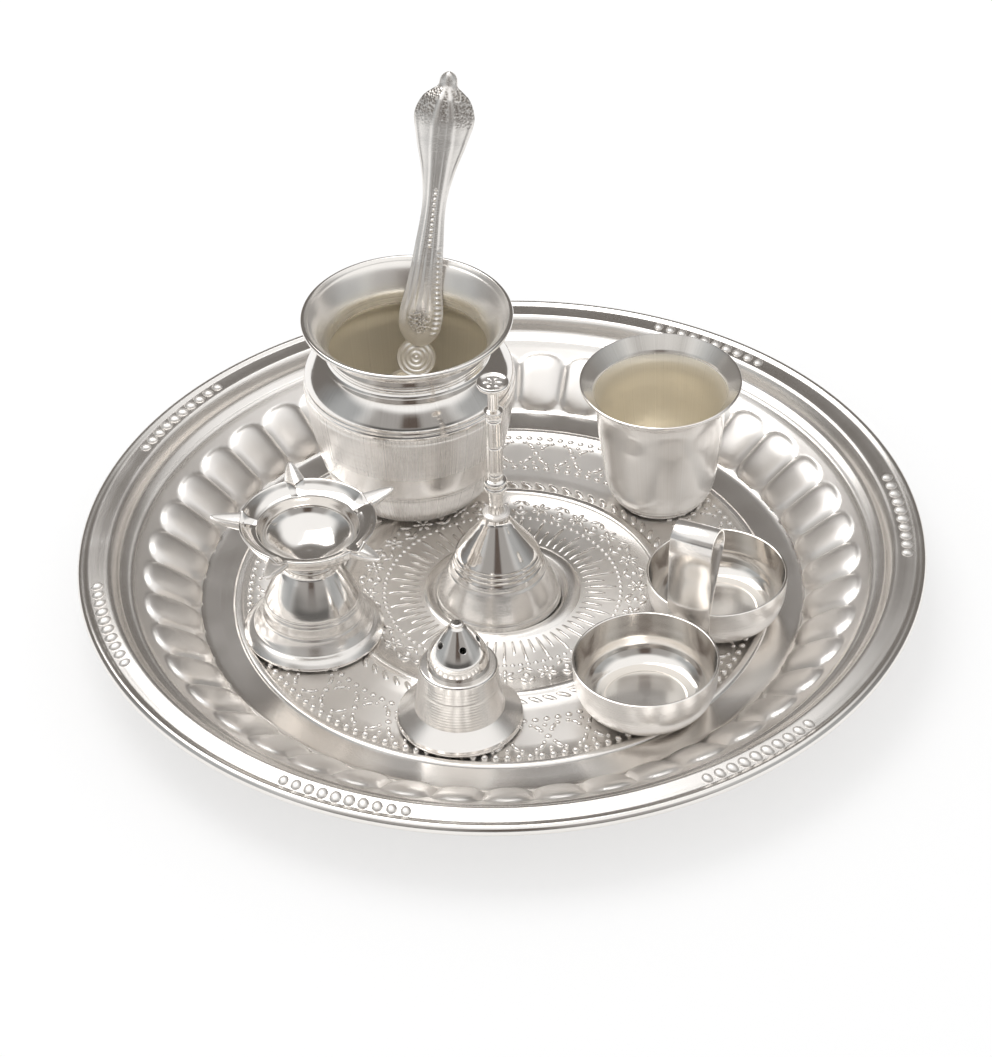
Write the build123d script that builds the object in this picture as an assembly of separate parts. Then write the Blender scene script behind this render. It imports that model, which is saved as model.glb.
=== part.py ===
from build123d import *
import math
import os

os.makedirs("parts", exist_ok=True)

# Plate: pressed sheet, fluted wall, sloping flange with a rolled edge
plate_r = 150.0
plate_h = 23.2
sheet = 1.2
roll_r = 2.0
roll_drop = 2.1
crest_in = 10.5
wall_top_in = 20.5
wall_run = 21.5
wall_top_drop = 7.6
ledge_drop = 5.0
foot_run = 3.0
foot_rise = 0.6
flute_count = 44
flute_rise = 2.0
flute_bury = 11.0
flute_round = 5.0
ridge_rise = 0.8
ridge_out_r = 94.0
ridge_out_w = 5.6
ridge_in_r = 57.2
ridge_in_w = 3.4

# Fits
seat_gap = 0.1
pin_gap = 0.12
swing_gap = 0.3
lean_gap = 0.25

# Where each piece stands on the plate
kalash_at = (-31.5, 61.5)
tumbler_at = (59.0, 53.0)
bell_at = (-1.5, -2.3)
diya_at = (-66.8, -19.4)
incense_at = (-15.8, -69.3)
plain_at = (48.2, -63.4)
handled_at = (75.5, -15.8)

# Kalash: pot body with a flared mouth soldered on its shoulder
kalash_r = 38.3
kalash_h = 63.0
kalash_foot_r = 18.0
kalash_wall = 1.0
neck_r = 29.4
neck_h = 14.2
neck_flare = 8.8

# Spoon leaning in the kalash
spoon_len = 155.0
spoon_lean = 64.0
spoon_turn = 19.5
spoon_aside = -3.8
hood_w = 22.0
shank_w = 9.0
tongue_w = 16.0
tongue_from = 54.0
handle_t = 1.5
handle_edge = 0.6
spoon_twist = 10.0
bowl_l = 46.0
bowl_w = 30.0
bowl_deep = 7.0
bowl_wall = 0.9
boss_r = 7.3
boss_t = 1.2
boss_below = 4.5
solder_gap = 0.05

# Tumbler
tumbler_r = 29.3
tumbler_h = 51.2
tumbler_wall_r = 23.9
tumbler_foot_r = 15.8
tumbler_foot_h = 1.4
tumbler_wall = 1.0
tumbler_lip_drop = 4.8

# Bell
bell_r = 22.4
bell_h = 35.2
crown_r = 4.6
bell_wall = 1.3
stud_r = 1.6
collar_r = 4.8
collar_h = 1.8
grip_r = 2.9
knop_r = 4.2
handle_h = 54.0
tenon_r = 1.1
tenon_h = 1.6
finial_r = 5.7
finial_h = 2.2
nut_r = 2.9
nut_h = 2.4
ear_t = 0.9
ear_h = 5.2
ear_w = 3.6
pin_r = 0.7
pin_down = 3.4
eye_r = 1.9
eye_t = 1.4
rod_r = 0.8
clapper_len = 17.0
ball_r = 4.2

# Lamp on a pedestal
diya_foot_r = 24.6
diya_foot_h = 31.0
diya_neck_r = 9.6
diya_wall = 1.5
cup_rim_r = 24.0
cup_h = 17.6
cup_r = 17.6
cup_floor = 3.4
spout_count = 5
spout_first = 30.0
spout_tip_r = 34.0
spout_w = 9.0
spout_deep = 5.0
diya_stud_r = 1.9
diya_head_r = 3.8
diya_head_h = 1.8
diya_stud_in = 2.4

# Incense stand
incense_r = 21.8
incense_h = 42.0
incense_ledge_r = 13.6
stick_r = 1.4
stick_depth = 7.0
side_hole_r = 1.25
side_hole_count = 5
side_hole_first = -75.0
side_hole_tilt = 41.0

# Small bowls and the strip handle of one
small_r = 25.3
small_h = 18.6
handled_r = 24.8
handled_h = 17.5
small_wall = 0.9
strip_w = 15.5
strip_t = 0.8
strip_side = -116.0
strip_rise = 33.0
strip_low = 8.0
strip_depth = 11.0
strip_lean = 12.0


# Turned solid from runs of (r, z) points, straight for two points and smooth for more
def turned(*runs):
    outline = []
    for run in runs:
        outline.append(Line(*run) if len(run) == 2 else Spline(*run))
    return revolve(Plane.XZ * make_face(outline), Axis.Z)


# Same points moved sideways by the sheet thickness
def inside(points, wall):
    moved = []
    last = len(points) - 1
    for i, (r, z) in enumerate(points):
        ahead = points[min(i + 1, last)]
        behind = points[max(i - 1, 0)]
        dr = ahead[0] - behind[0]
        dz = ahead[1] - behind[1]
        length = math.hypot(dr, dz)
        moved.append((r - wall * dz / length, z + wall * dr / length))
    return moved


def standing(shape, at):
    return Pos(at[0], at[1], seat_z) * shape


# Plate outline, top face from the middle outward
seat_z = sheet + ridge_rise + seat_gap
crest_r = plate_r - crest_in
wall_top_r = plate_r - wall_top_in
wall_foot_r = wall_top_r - wall_run
roll_c = (plate_r - roll_r, plate_h - roll_drop)
wall_foot = (wall_foot_r, sheet + foot_rise)
wall_top = (wall_top_r, plate_h - wall_top_drop)
ledge = ((wall_top_r + crest_r) / 2 + 0.3, plate_h - ledge_drop)
crest = [(crest_r - 1.6, plate_h - 1.0), (crest_r, plate_h), (crest_r + 2.2, plate_h - 0.35)]
roll_start = (roll_c[0] - roll_r * 0.6, roll_c[1] + roll_r * 0.8)
roll_low = (roll_c[0], roll_c[1] - roll_r)
rise_low = inside([wall_foot, wall_top, ledge] + crest + [roll_start], -sheet)


def ridge(centre, width):
    return ThreePointArc((centre - width / 2, sheet), (centre, sheet + ridge_rise), (centre + width / 2, sheet))


in_a = (ridge_in_r - ridge_in_w / 2, sheet)
in_b = (ridge_in_r + ridge_in_w / 2, sheet)
out_a = (ridge_out_r - ridge_out_w / 2, sheet)
out_b = (ridge_out_r + ridge_out_w / 2, sheet)
bend = (wall_foot_r - foot_run, sheet)
plate_outline = [
    Line((0, 0), (0, sheet)),
    Line((0, sheet), in_a),
    ridge(ridge_in_r, ridge_in_w),
    Line(in_b, out_a),
    ridge(ridge_out_r, ridge_out_w),
    Line(out_b, bend),
    TangentArc(bend, wall_foot, tangent=(1, 0)),
    Polyline(wall_foot, wall_top, ledge, crest[0]),
    ThreePointArc(*crest),
    Line(crest[-1], roll_start),
    ThreePointArc(roll_start, (roll_c[0] + roll_r, roll_c[1]), roll_low),
    Polyline(roll_low, *rise_low[::-1], (wall_foot_r - foot_rise, 0), (0, 0)),
]
plate = revolve(Plane.XZ * make_face(plate_outline), Axis.Z)

# Flutes: pillow lobes pressed up from the wall, each a turned spindle sunk in it to half the sheet
wall_tilt = math.degrees(math.atan2(wall_top[1] - wall_foot[1], wall_run))
half = math.hypot(wall_top[1] - wall_foot[1], wall_run) / 2
end_r = flute_bury - sheet * 0.4
crest_line = flute_bury + flute_rise
shoulder = half - flute_round
lobe_outline = [
    TangentArc((-shoulder, crest_line), (-half, end_r), tangent=(-1, 0)),
    Line((-shoulder, crest_line), (shoulder, crest_line)),
    TangentArc((shoulder, crest_line), (half, end_r), tangent=(1, 0)),
    Polyline((half, end_r), (half, 0), (-half, 0), (-half, end_r)),
]
lobe = revolve(Plane.XY * make_face(lobe_outline), Axis.X)
lobe = split(lobe, Plane.XY.offset(flute_bury - sheet / 2), keep=Keep.TOP)
lobe_mid = ((wall_foot_r + wall_top_r) / 2, (wall_foot[1] + wall_top[1]) / 2)
lobe = Pos(lobe_mid[0], 0, lobe_mid[1]) * Rot(Y=-wall_tilt) * Pos(0, 0, -flute_bury) * lobe
flutes = [Rot(Z=360.0 / flute_count * k) * lobe for k in range(flute_count)]
plate = plate.fuse(*flutes)
export_step(plate, "parts/thali_plate.step")

# Kalash body: foot, belly and shoulder up to the stub that carries the mouth
belly = [
    (kalash_foot_r, 0),
    (kalash_r * 0.614, kalash_h * 0.025),
    (kalash_r * 0.752, kalash_h * 0.111),
    (kalash_r * 0.851, kalash_h * 0.254),
    (kalash_r * 0.922, kalash_h * 0.429),
    (kalash_r * 0.974, kalash_h * 0.619),
    (kalash_r, kalash_h * 0.786),
    (kalash_r * 0.982, kalash_h * 0.848),
    (kalash_r * 0.903, kalash_h * 0.917),
    (neck_r + 2.4, kalash_h - 2.6),
    (neck_r + 0.5, kalash_h - 1.4),
    (neck_r, kalash_h),
]
belly_in = inside(belly, kalash_wall)
belly_in[0] = (kalash_foot_r, kalash_wall)
belly_in[-1] = (neck_r - kalash_wall, kalash_h)
kalash_body = turned(
    [(0, 0), belly[0]],
    belly,
    [belly[-1], belly_in[-1]],
    belly_in[::-1],
    [belly_in[0], (0, kalash_wall)],
    [(0, kalash_wall), (0, 0)],
)
export_step(standing(kalash_body, kalash_at), "parts/kalash_body.step")

# Kalash mouth: flared ring with a rounded lip, its foot on the stub
lip_r = neck_r + neck_flare
flare_out = [
    (neck_r, 0),
    (neck_r + neck_flare * 0.06, neck_h * 0.22),
    (neck_r + neck_flare * 0.31, neck_h * 0.53),
    (neck_r + neck_flare * 0.69, neck_h * 0.78),
    (lip_r - 0.5, neck_h * 0.87),
]
lip_top = (lip_r - 1.3, neck_h)
flare_in = [
    lip_top,
    (neck_r + neck_flare * 0.56, neck_h * 0.86),
    (neck_r + neck_flare * 0.2, neck_h * 0.58),
    (neck_r - kalash_wall * 0.7, neck_h * 0.23),
    (neck_r - kalash_wall, 0),
]
neck_outline = [
    Line((neck_r - kalash_wall, 0), flare_out[0]),
    Spline(*flare_out),
    ThreePointArc(flare_out[-1], (lip_r, neck_h * 0.945), lip_top),
    Spline(*flare_in),
]
kalash_neck = revolve(Plane.XZ * make_face(neck_outline), Axis.Z)
kalash_neck = standing(Pos(0, 0, kalash_h) * kalash_neck, kalash_at)
export_step(kalash_neck, "parts/kalash_neck.step")

# Spoon handle: crescent sections along its length, tongue at the low end and hood at the top
hood_from = spoon_len - 15.0
stations = [
    (tongue_from, tongue_w * 0.25, 0.7),
    (tongue_from + 2.0, tongue_w * 0.62, 1.0),
    (tongue_from + 6.5, tongue_w * 0.95, 1.4),
    (tongue_from + 11.0, tongue_w, 1.6),
    (tongue_from + 21.0, tongue_w * 0.84, 1.9),
    (tongue_from + 37.0, shank_w * 1.16, 2.0),
    (spoon_len - 46.0, shank_w, 2.0),
    (spoon_len - 36.0, hood_w * 0.57, 2.4),
    (spoon_len - 25.0, hood_w * 0.85, 3.4),
    (hood_from, hood_w, 4.2),
    (spoon_len - 9.0, hood_w * 0.86, 3.8),
    (spoon_len - 5.5, hood_w * 0.45, 2.4),
    (spoon_len - 3.0, hood_w * 0.33, 2.0),
    (spoon_len, hood_w * 0.16, 1.0),
]


def crescent(along, width, crown):
    under = max(0.25, crown + handle_edge - handle_t)
    a, b = (-width / 2, handle_edge), (width / 2, handle_edge)
    c, d = (width / 2, 0), (-width / 2, 0)
    rim = [
        ThreePointArc(a, (0, crown + handle_edge), b),
        Line(b, c),
        ThreePointArc(c, (0, under), d),
        Line(d, a),
    ]
    return Plane(origin=(0, along, 0), x_dir=(1, 0, 0), z_dir=(0, -1, 0)) * make_face(rim)


spoon_handle = loft([crescent(*s) for s in stations])

# Spoon bowl: oval dish with a round boss at its top, soldered under the tongue
dish_r = bowl_w / 2
dish_out = [(0, -bowl_deep), (dish_r * 0.5, -bowl_deep * 0.86), (dish_r * 0.87, -bowl_deep * 0.45), (dish_r, 0)]
dish_in = inside(dish_out, bowl_wall)
dish_in[0] = (0, -bowl_deep + bowl_wall)
dish_in[-1] = (dish_r - bowl_wall, 0)
dish = turned(dish_out, [dish_out[-1], dish_in[-1]], dish_in[::-1], [dish_in[0], dish_out[0]])
spoon_bowl = Pos(0, bowl_l / 2, 0) * scale(dish, by=(1, bowl_l / bowl_w, 1))
spoon_bowl += Pos(0, tongue_from - boss_below, -solder_gap - boss_t / 2) * Cylinder(boss_r, boss_t)

# Lean the spoon: bowl on the pot floor, back of the handle against the flared mouth
lean = math.radians(spoon_lean)
turn = math.radians(spoon_turn)
rise_dir = (math.cos(lean) * math.sin(turn), math.cos(lean) * math.cos(turn), math.sin(lean))
face_dir = (-math.sin(lean) * math.sin(turn), -math.sin(lean) * math.cos(turn), math.cos(lean))
side_dir = (math.cos(turn), -math.sin(turn), 0)
lean_plane = Plane(origin=(0, 0, 0), x_dir=side_dir, z_dir=face_dir)
set_spoon = lean_plane.location * Rot(Y=spoon_twist)
spoon_handle = set_spoon * spoon_handle
spoon_bowl = set_spoon * spoon_bowl
low = spoon_bowl.bounding_box().min.Z
drop = Pos(kalash_at[0] + spoon_aside, kalash_at[1], seat_z + kalash_wall + lean_gap - low)
spoon_handle = drop * spoon_handle
spoon_bowl = drop * spoon_bowl
near, far = -30.0, 30.0
for step in range(9):
    middle = (near + far) / 2
    trial = Pos(middle * math.sin(turn), middle * math.cos(turn), 0) * spoon_handle
    if trial.distance_to(kalash_neck) > lean_gap:
        near = middle
    else:
        far = middle
rest = Pos(near * math.sin(turn), near * math.cos(turn), 0)
export_step(rest * spoon_handle, "parts/spoon_handle.step")
export_step(rest * spoon_bowl, "parts/spoon_bowl.step")

# Tumbler: stepped foot, straight taper, flat conical lip
side = [
    (tumbler_foot_r + 0.6, tumbler_foot_h),
    (tumbler_foot_r + 2.4, tumbler_foot_h + 1.6),
    (tumbler_foot_r + 4.0, tumbler_foot_h + 6.0),
    (tumbler_wall_r - 2.6, tumbler_h * 0.36),
    (tumbler_wall_r - 1.0, tumbler_h * 0.62),
    (tumbler_wall_r, tumbler_h - tumbler_lip_drop - 3.4),
    (tumbler_wall_r + 1.2, tumbler_h - tumbler_lip_drop - 0.4),
]
side_in = inside(side, tumbler_wall)
side_in[0] = (side[0][0], tumbler_foot_h + tumbler_wall)
lip_edge = (tumbler_r, tumbler_h - 0.7)
lip_inner = (tumbler_r - 0.6, tumbler_h)
tumbler = turned(
    [(0, 0), (tumbler_foot_r, 0)],
    [(tumbler_foot_r, 0), (tumbler_foot_r, tumbler_foot_h)],
    [(tumbler_foot_r, tumbler_foot_h), side[0]],
    side,
    [side[-1], lip_edge],
    [lip_edge, lip_inner],
    [lip_inner, side_in[-1]],
    side_in[::-1],
    [side_in[0], (0, tumbler_foot_h + tumbler_wall)],
    [(0, tumbler_foot_h + tumbler_wall), (0, 0)],
)
export_step(standing(tumbler, tumbler_at), "parts/tumbler.step")

# Bell dome with a hole in the crown for the handle stud
dome_out = [
    (bell_r, 0),
    (bell_r * 0.965, bell_h * 0.07),
    (bell_r * 0.83, bell_h * 0.27),
    (bell_r * 0.72, bell_h * 0.43),
    (bell_r * 0.655, bell_h * 0.55),
    (bell_r * 0.53, bell_h * 0.67),
    (bell_r * 0.4, bell_h * 0.78),
    (bell_r * 0.285, bell_h * 0.89),
    (crown_r + 0.3, bell_h * 0.965),
    (crown_r, bell_h),
]
dome_in = inside(dome_out, bell_wall)
dome_in[0] = (bell_r - bell_wall, 0)
dome_in = dome_in[:-2] + [(crown_r - 0.6, bell_h - bell_wall)]
crown_hole = stud_r + pin_gap
bell_dome = turned(
    [(crown_hole, bell_h), (crown_r, bell_h)],
    dome_out[::-1],
    [dome_out[0], dome_in[0]],
    dome_in,
    [dome_in[-1], (crown_hole, bell_h - bell_wall)],
    [(crown_hole, bell_h - bell_wall), (crown_hole, bell_h)],
)
export_step(standing(bell_dome, bell_at), "parts/bell_dome.step")

# Bell collar washer on the crown
collar_top = bell_h + collar_h
bell_collar = turned(
    [(crown_hole, bell_h), (collar_r - 0.5, bell_h)],
    [(collar_r - 0.5, bell_h), (collar_r, bell_h + 0.5)],
    [(collar_r, bell_h + 0.5), (collar_r, collar_top - 0.4)],
    [(collar_r, collar_top - 0.4), (collar_r - 1.6, collar_top)],
    [(collar_r - 1.6, collar_top), (crown_hole, collar_top)],
    [(crown_hole, collar_top), (crown_hole, bell_h)],
)
export_step(standing(bell_collar, bell_at), "parts/bell_collar.step")

# Bell handle: stud below, waisted stem, double knop, grip, ring, thin stem and tenon
stud_low = bell_h - bell_wall - nut_h + 0.4
grip_top = collar_top + handle_h - 9.4
stem_top = collar_top + handle_h
knop_z = collar_top + 9.4
bell_handle = turned(
    [(0, stud_low), (stud_r, stud_low)],
    [(stud_r, stud_low), (stud_r, collar_top)],
    [(stud_r, collar_top), (grip_r, collar_top)],
    [(grip_r, collar_top), (grip_r * 0.86, collar_top + 2.6), (grip_r * 0.9, collar_top + 6.0), (grip_r, knop_z)],
    [(grip_r, knop_z), (knop_r, knop_z + 1.5), (grip_r + 0.3, knop_z + 2.6)],
    [(grip_r + 0.3, knop_z + 2.6), (knop_r, knop_z + 3.8), (grip_r, knop_z + 5.2)],
    [(grip_r, knop_z + 5.2), (grip_r, grip_top - 1.6)],
    [(grip_r, grip_top - 1.6), (grip_r + 0.5, grip_top - 0.9), (grip_r * 0.66, grip_top)],
    [(grip_r * 0.66, grip_top), (grip_r * 0.66, stem_top)],
    [(grip_r * 0.66, stem_top), (tenon_r, stem_top)],
    [(tenon_r, stem_top), (tenon_r, stem_top + tenon_h)],
    [(tenon_r, stem_top + tenon_h), (0, stem_top + tenon_h)],
    [(0, stem_top + tenon_h), (0, stud_low)],
)
export_step(standing(bell_handle, bell_at), "parts/bell_handle.step")

# Bell finial: top disc with a raised rim, on the tenon
socket_r = tenon_r + pin_gap
socket_z = stem_top + tenon_h + 0.1
disc_top = stem_top + finial_h
bell_finial = turned(
    [(socket_r, stem_top), (finial_r - 1.4, stem_top)],
    [(finial_r - 1.4, stem_top), (finial_r, stem_top + 0.7)],
    [(finial_r, stem_top + 0.7), (finial_r, disc_top)],
    [(finial_r, disc_top), (finial_r - 0.9, disc_top)],
    [(finial_r - 0.9, disc_top), (finial_r - 1.2, disc_top - 0.3)],
    [(finial_r - 1.2, disc_top - 0.3), (0, disc_top - 0.3)],
    [(0, disc_top - 0.3), (0, socket_z)],
    [(0, socket_z), (socket_r, socket_z)],
    [(socket_r, socket_z), (socket_r, stem_top)],
)
export_step(standing(bell_finial, bell_at), "parts/bell_finial.step")

# Bell eye nut: disc on the stud, two ears and the pivot pin between them
nut_top = bell_h - bell_wall
nut_low = nut_top - nut_h
eye_gap = eye_t + 2 * swing_gap
pivot_z = nut_low - pin_down
nut = Pos(0, 0, nut_low + nut_h / 2) * Cylinder(nut_r, nut_h)
nut -= Pos(0, 0, nut_top - (nut_top - stud_low) / 2) * Cylinder(stud_r + pin_gap, nut_top - stud_low)
for way in (-1, 1):
    ear = Pos(way * (eye_gap + ear_t) / 2, 0, nut_low - ear_h / 2) * Box(ear_t, ear_w, ear_h)
    nut += ear
nut += Pos(0, 0, pivot_z) * Rot(Y=90) * Cylinder(pin_r, eye_gap + ear_t)
export_step(standing(nut, bell_at), "parts/bell_eye_nut.step")

# Clapper: rod with an eye round the pin, ball at its end
rod_end = pivot_z - clapper_len + ball_r - 1.0
eye = Pos(0, 0, pivot_z) * Rot(Y=90) * Cylinder(eye_r, eye_t)
rod = eye + Pos(0, 0, (pivot_z + rod_end) / 2) * Cylinder(min(rod_r, eye_t / 2), pivot_z - rod_end)
rod -= Pos(0, 0, pivot_z) * Rot(Y=90) * Cylinder(pin_r + swing_gap, eye_t * 3)
export_step(standing(rod, bell_at), "parts/bell_clapper_rod.step")
ball = Pos(0, 0, pivot_z - clapper_len) * Sphere(ball_r)
rod_hole = Cylinder(min(rod_r, eye_t / 2) + pin_gap, ball_r * 2)
ball -= Pos(0, 0, rod_end - 0.1 + ball_r) * rod_hole
export_step(standing(ball, bell_at), "parts/bell_clapper_ball.step")

# Lamp pedestal: hollow bell foot with a rolled edge, a step roll and a flat top
foot_out = [
    (diya_foot_r, 1.6),
    (diya_foot_r - 1.2, 2.7),
    (diya_foot_r * 0.83, diya_foot_h * 0.155),
    (diya_foot_r * 0.745, diya_foot_h * 0.27),
    (diya_foot_r * 0.72, diya_foot_h * 0.34),
    (diya_foot_r * 0.695, diya_foot_h * 0.45),
    (diya_foot_r * 0.635, diya_foot_h * 0.58),
    (diya_foot_r * 0.545, diya_foot_h * 0.73),
    (diya_foot_r * 0.45, diya_foot_h * 0.87),
    (diya_neck_r + 0.1, diya_foot_h * 0.95),
    (diya_neck_r, diya_foot_h),
]
foot_in = inside(foot_out, diya_wall)
foot_in = foot_in[1:-2] + [(diya_neck_r - 1.2, diya_foot_h - diya_wall)]
stud_hole = diya_stud_r + pin_gap
pedestal = turned(
    [(foot_in[0][0], 0), (diya_foot_r - 0.8, 0)],
    [(diya_foot_r - 0.8, 0), (diya_foot_r, 0.7)],
    [(diya_foot_r, 0.7), foot_out[0]],
    foot_out,
    [foot_out[-1], (stud_hole, diya_foot_h)],
    [(stud_hole, diya_foot_h), (stud_hole, diya_foot_h - diya_wall)],
    [(stud_hole, diya_foot_h - diya_wall), foot_in[-1]],
    foot_in[::-1],
    [foot_in[0], (foot_in[0][0], 0)],
)
export_step(standing(pedestal, diya_at), "parts/diya_pedestal.step")

# Lamp cup: neck ring, wide sloping rim, round cup, five pointed spouts
cup_out = [
    (diya_neck_r - 0.5, 1.4),
    (diya_neck_r - 0.2, 2.6),
    (cup_rim_r * 0.56, cup_h * 0.3),
    (cup_rim_r * 0.79, cup_h * 0.55),
    (cup_rim_r * 0.93, cup_h * 0.78),
    (cup_rim_r - 0.2, cup_h - 0.9),
]
cup_in = [
    (cup_r, cup_h - 4.2),
    (cup_r * 0.93, cup_h * 0.55),
    (cup_r * 0.72, cup_floor + (cup_h - cup_floor) * 0.22),
    (cup_r * 0.38, cup_floor + 0.5),
    (0, cup_floor),
]
cup = turned(
    [(0, 0), (diya_neck_r - 0.4, 0)],
    [(diya_neck_r - 0.4, 0), (diya_neck_r, 0.7)],
    [(diya_neck_r, 0.7), cup_out[0]],
    cup_out,
    [cup_out[-1], (cup_rim_r, cup_h)],
    [(cup_rim_r, cup_h), (cup_rim_r - 0.9, cup_h)],
    [(cup_rim_r - 0.9, cup_h), (cup_r + 0.9, cup_h - 3.0)],
    [(cup_r + 0.9, cup_h - 3.0), cup_in[0]],
    cup_in,
    [cup_in[-1], (0, 0)],
)


def boat(sections):
    cuts = []
    for out, width, top, deep in sections:
        tri = Polyline((-width / 2, top), (width / 2, top), (0, top - deep), close=True)
        cuts.append(Plane(origin=(out, 0, 0), x_dir=(0, 1, 0), z_dir=(1, 0, 0)) * make_face(tri))
    return loft(cuts, ruled=True)


spout_root = cup_rim_r - 2.6
spout_mid = (cup_rim_r + spout_tip_r) / 2
hull = boat([
    (spout_root, spout_w, cup_h, spout_deep),
    (spout_mid, spout_w * 0.74, cup_h, spout_deep * 0.72),
    (spout_tip_r, spout_w * 0.1, cup_h, spout_deep * 0.16),
])
trough = boat([
    (cup_r - 1.0, spout_w * 0.72, cup_h + 0.02, spout_deep * 0.92),
    (spout_mid, spout_w * 0.5, cup_h + 0.02, spout_deep * 0.46),
    (spout_tip_r - 1.4, spout_w * 0.05, cup_h + 0.02, spout_deep * 0.06),
])
spouts = [Rot(Z=spout_first + 360.0 / spout_count * k) * hull for k in range(spout_count)]
troughs = [Rot(Z=spout_first + 360.0 / spout_count * k) * trough for k in range(spout_count)]
cup = cup.fuse(*spouts).cut(*troughs)
stud_bore = Pos(0, 0, (diya_stud_in + 0.1) / 2) * Cylinder(stud_hole, diya_stud_in + 0.1)
cup = cup.cut(stud_bore)
export_step(standing(Pos(0, 0, diya_foot_h) * cup, diya_at), "parts/diya_bowl.step")

# Lamp stud: round head under the pedestal top, shank into the cup
head_top = diya_foot_h - diya_wall
stud = Pos(0, 0, head_top - diya_head_h / 2) * Cylinder(diya_head_r, diya_head_h)
shank_l = diya_wall + diya_stud_in
stud += Pos(0, 0, head_top + shank_l / 2) * Cylinder(diya_stud_r, shank_l)
export_step(standing(stud, diya_at), "parts/diya_stud.step")

# Incense stand: sloping foot, body tapering to a flat shelf, pointed cone drilled for sticks
foot_edge = (incense_r - 0.3, 2.4)
body = [
    (incense_r * 0.716, incense_h * 0.148),
    (incense_r * 0.672, incense_h * 0.29),
    (incense_r * 0.64, incense_h * 0.43),
    (incense_ledge_r, incense_h * 0.55),
]
shelf_edge = (incense_ledge_r - 0.5, incense_h * 0.571)
cone = [
    (incense_ledge_r * 0.81, incense_h * 0.573),
    (incense_ledge_r * 0.785, incense_h * 0.64),
    (incense_ledge_r * 0.72, incense_h * 0.7),
    (incense_ledge_r * 0.6, incense_h * 0.785),
    (incense_ledge_r * 0.44, incense_h * 0.87),
    (incense_ledge_r * 0.235, incense_h * 0.96),
]
cone_top_r = stick_r + 0.9
hollow = [
    (incense_r - 1.9, 0),
    (incense_r * 0.645, incense_h * 0.115),
    (incense_r * 0.575, incense_h * 0.24),
    (incense_r * 0.53, incense_h * 0.36),
    (incense_ledge_r * 0.78, incense_h * 0.47),
    (incense_ledge_r * 0.63, incense_h * 0.56),
    (incense_ledge_r * 0.53, incense_h * 0.66),
    (incense_ledge_r * 0.36, incense_h * 0.77),
    (stick_r, incense_h - stick_depth),
]
stand = turned(
    [hollow[0], (incense_r - 0.3, 0)],
    [(incense_r - 0.3, 0), (incense_r, 1.0), foot_edge],
    [foot_edge, body[0]],
    body,
    [body[-1], (incense_ledge_r - 0.1, incense_h * 0.562), shelf_edge],
    [shelf_edge, cone[0]],
    cone,
    [cone[-1], (cone_top_r, incense_h - 1.0)],
    [(cone_top_r, incense_h - 1.0), (cone_top_r, incense_h)],
    [(cone_top_r, incense_h), (stick_r, incense_h)],
    [(stick_r, incense_h), hollow[-1]],
    hollow[::-1],
)
side_hole = Pos(0, 0, incense_h * 0.69) * Rot(Y=90 - side_hole_tilt) * Pos(0, 0, 9.0) * Cylinder(side_hole_r, 10.0)
side_holes = [Rot(Z=side_hole_first + 360.0 / side_hole_count * k) * side_hole for k in range(side_hole_count)]
stand = stand.cut(*side_holes)
export_step(standing(stand, incense_at), "parts/incense_stand.step")


# Small bowls: flat floor, rounded corner, near upright wall
def small_bowl(rim_r, height):
    wall = [
        (rim_r * 0.6, 0),
        (rim_r * 0.74, height * 0.035),
        (rim_r * 0.88, height * 0.18),
        (rim_r * 0.96, height * 0.43),
        (rim_r * 0.99, height * 0.75),
        (rim_r, height),
    ]
    wall_in = inside(wall, small_wall)
    wall_in[0] = (wall[0][0], small_wall)
    wall_in[-1] = (rim_r - small_wall, height)
    return turned(
        [(0, 0), wall[0]],
        wall,
        [wall[-1], wall_in[-1]],
        wall_in[::-1],
        [wall_in[0], (0, small_wall)],
        [(0, small_wall), (0, 0)],
    )


export_step(standing(small_bowl(small_r, small_h), plain_at), "parts/plain_bowl.step")
export_step(standing(small_bowl(handled_r, handled_h), handled_at), "parts/handled_bowl.step")

# Strip handle: band soldered up the wall, leaning in, bent over and back down to the rim
strip_r = handled_r + seat_gap / 2 + strip_t / 2
strip_top = handled_h + strip_rise
bend = [
    (strip_r - strip_lean, strip_top - 4.6),
    (strip_r - strip_lean + strip_depth * 0.08, strip_top - 2.0),
    (strip_r - strip_lean + strip_depth * 0.25, strip_top - 0.5),
    (strip_r - strip_lean + strip_depth * 0.5, strip_top),
    (strip_r - strip_lean + strip_depth * 0.75, strip_top - 0.7),
    (strip_r - strip_lean + strip_depth * 0.92, strip_top - 2.2),
    (strip_r - strip_lean + strip_depth, strip_top - 4.6),
]
strip_path = [(strip_r, strip_low), (strip_r, handled_h)] + bend + [(strip_r + strip_t + seat_gap, handled_h + 1.2)]
left = inside(strip_path, strip_t / 2)
right = inside(strip_path, -strip_t / 2)
strip_face = Plane.XZ * make_face(Polyline(*left, *right[::-1], close=True))
strip = Pos(0, strip_w / 2, 0) * extrude(strip_face, strip_w)
export_step(standing(Rot(Z=strip_side) * strip, handled_at), "parts/strip_handle.step")
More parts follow.
